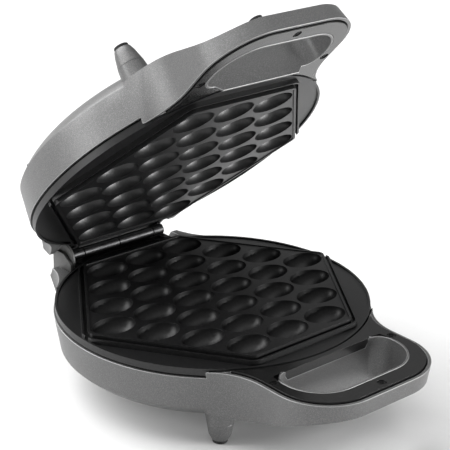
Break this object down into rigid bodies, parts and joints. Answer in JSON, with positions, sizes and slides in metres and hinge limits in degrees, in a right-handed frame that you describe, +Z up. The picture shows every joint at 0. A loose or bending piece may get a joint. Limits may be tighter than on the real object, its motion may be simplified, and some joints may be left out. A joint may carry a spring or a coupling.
{
  "type": "bubble waffle maker",
  "caption": "Free-standing bubble waffle maker: two round hinged halves with looped handles, each with a black plate of egg shaped cavities.",
  "frame": {"origin": "on the table plane under the middle of the whole object as it stands open; the round plates are centred 15.8 mm behind it", "axes": "+X along the hinge pin, -Y towards the handles and the user, +Y towards the hinge, +Z up"},
  "size_m": [0.2, 0.2781, 0.2505],
  "materials": {
    "silver_paint": "silver grey paint with a fine metallic speckle",
    "black_cover": "satin black moulded plastic",
    "non_stick": "die cast aluminium under a black satin non-stick coating",
    "dark_steel": "blackened steel sheet, pin and screws",
    "screw_steel": "zinc plated screw steel",
    "element_steel": "heat darkened steel tube",
    "reflector_sheet": "bright aluminium sheet",
    "pad_rubber": "matt black rubber",
    "guard_plastic": "dark grey moulded plastic",
    "electric_body": "cream glazed body",
    "gland_rubber": "matt black rubber",
    "lens_plastic": "clear red moulded lens"
  },
  "bodies": {
    "base": {"base_shell": "silver_paint", "base_feet": "silver_paint", "base_foot_pads": "pad_rubber", "base_handle_cover": "black_cover", "base_handle_screws": "dark_steel", "base_plate": "non_stick", "base_plate_screws": "screw_steel", "base_heating_element": "element_steel", "base_reflector": "reflector_sheet", "base_hinge_bracket": "dark_steel", "base_bracket_screws": "dark_steel", "hinge_pin": "dark_steel", "base_wire_guard": "guard_plastic", "thermostat": "electric_body", "thermal_fuse": "electric_body", "terminal_block": "electric_body", "cord_gland": "gland_rubber"},
    "lid": {"lid_shell": "silver_paint", "lid_feet": "silver_paint", "lid_foot_pads": "pad_rubber", "lid_handle_cover": "black_cover", "lid_handle_screws": "dark_steel", "lid_plate": "non_stick", "lid_plate_screws": "screw_steel", "lid_heating_element": "element_steel", "lid_reflector": "reflector_sheet", "lid_hinge_bracket": "dark_steel", "lid_bracket_screws": "dark_steel", "lid_wire_guard": "guard_plastic", "indicator_lenses": "lens_plastic"}
  },
  "joints": [
    {"name": "lid_hinge", "type": "hinge", "parent": "base", "child": "lid", "pos_m": [0, 0.116, 0.058], "axis": [-1, 0, 0], "range_deg": [-45.6, 49.4]}
  ]
}
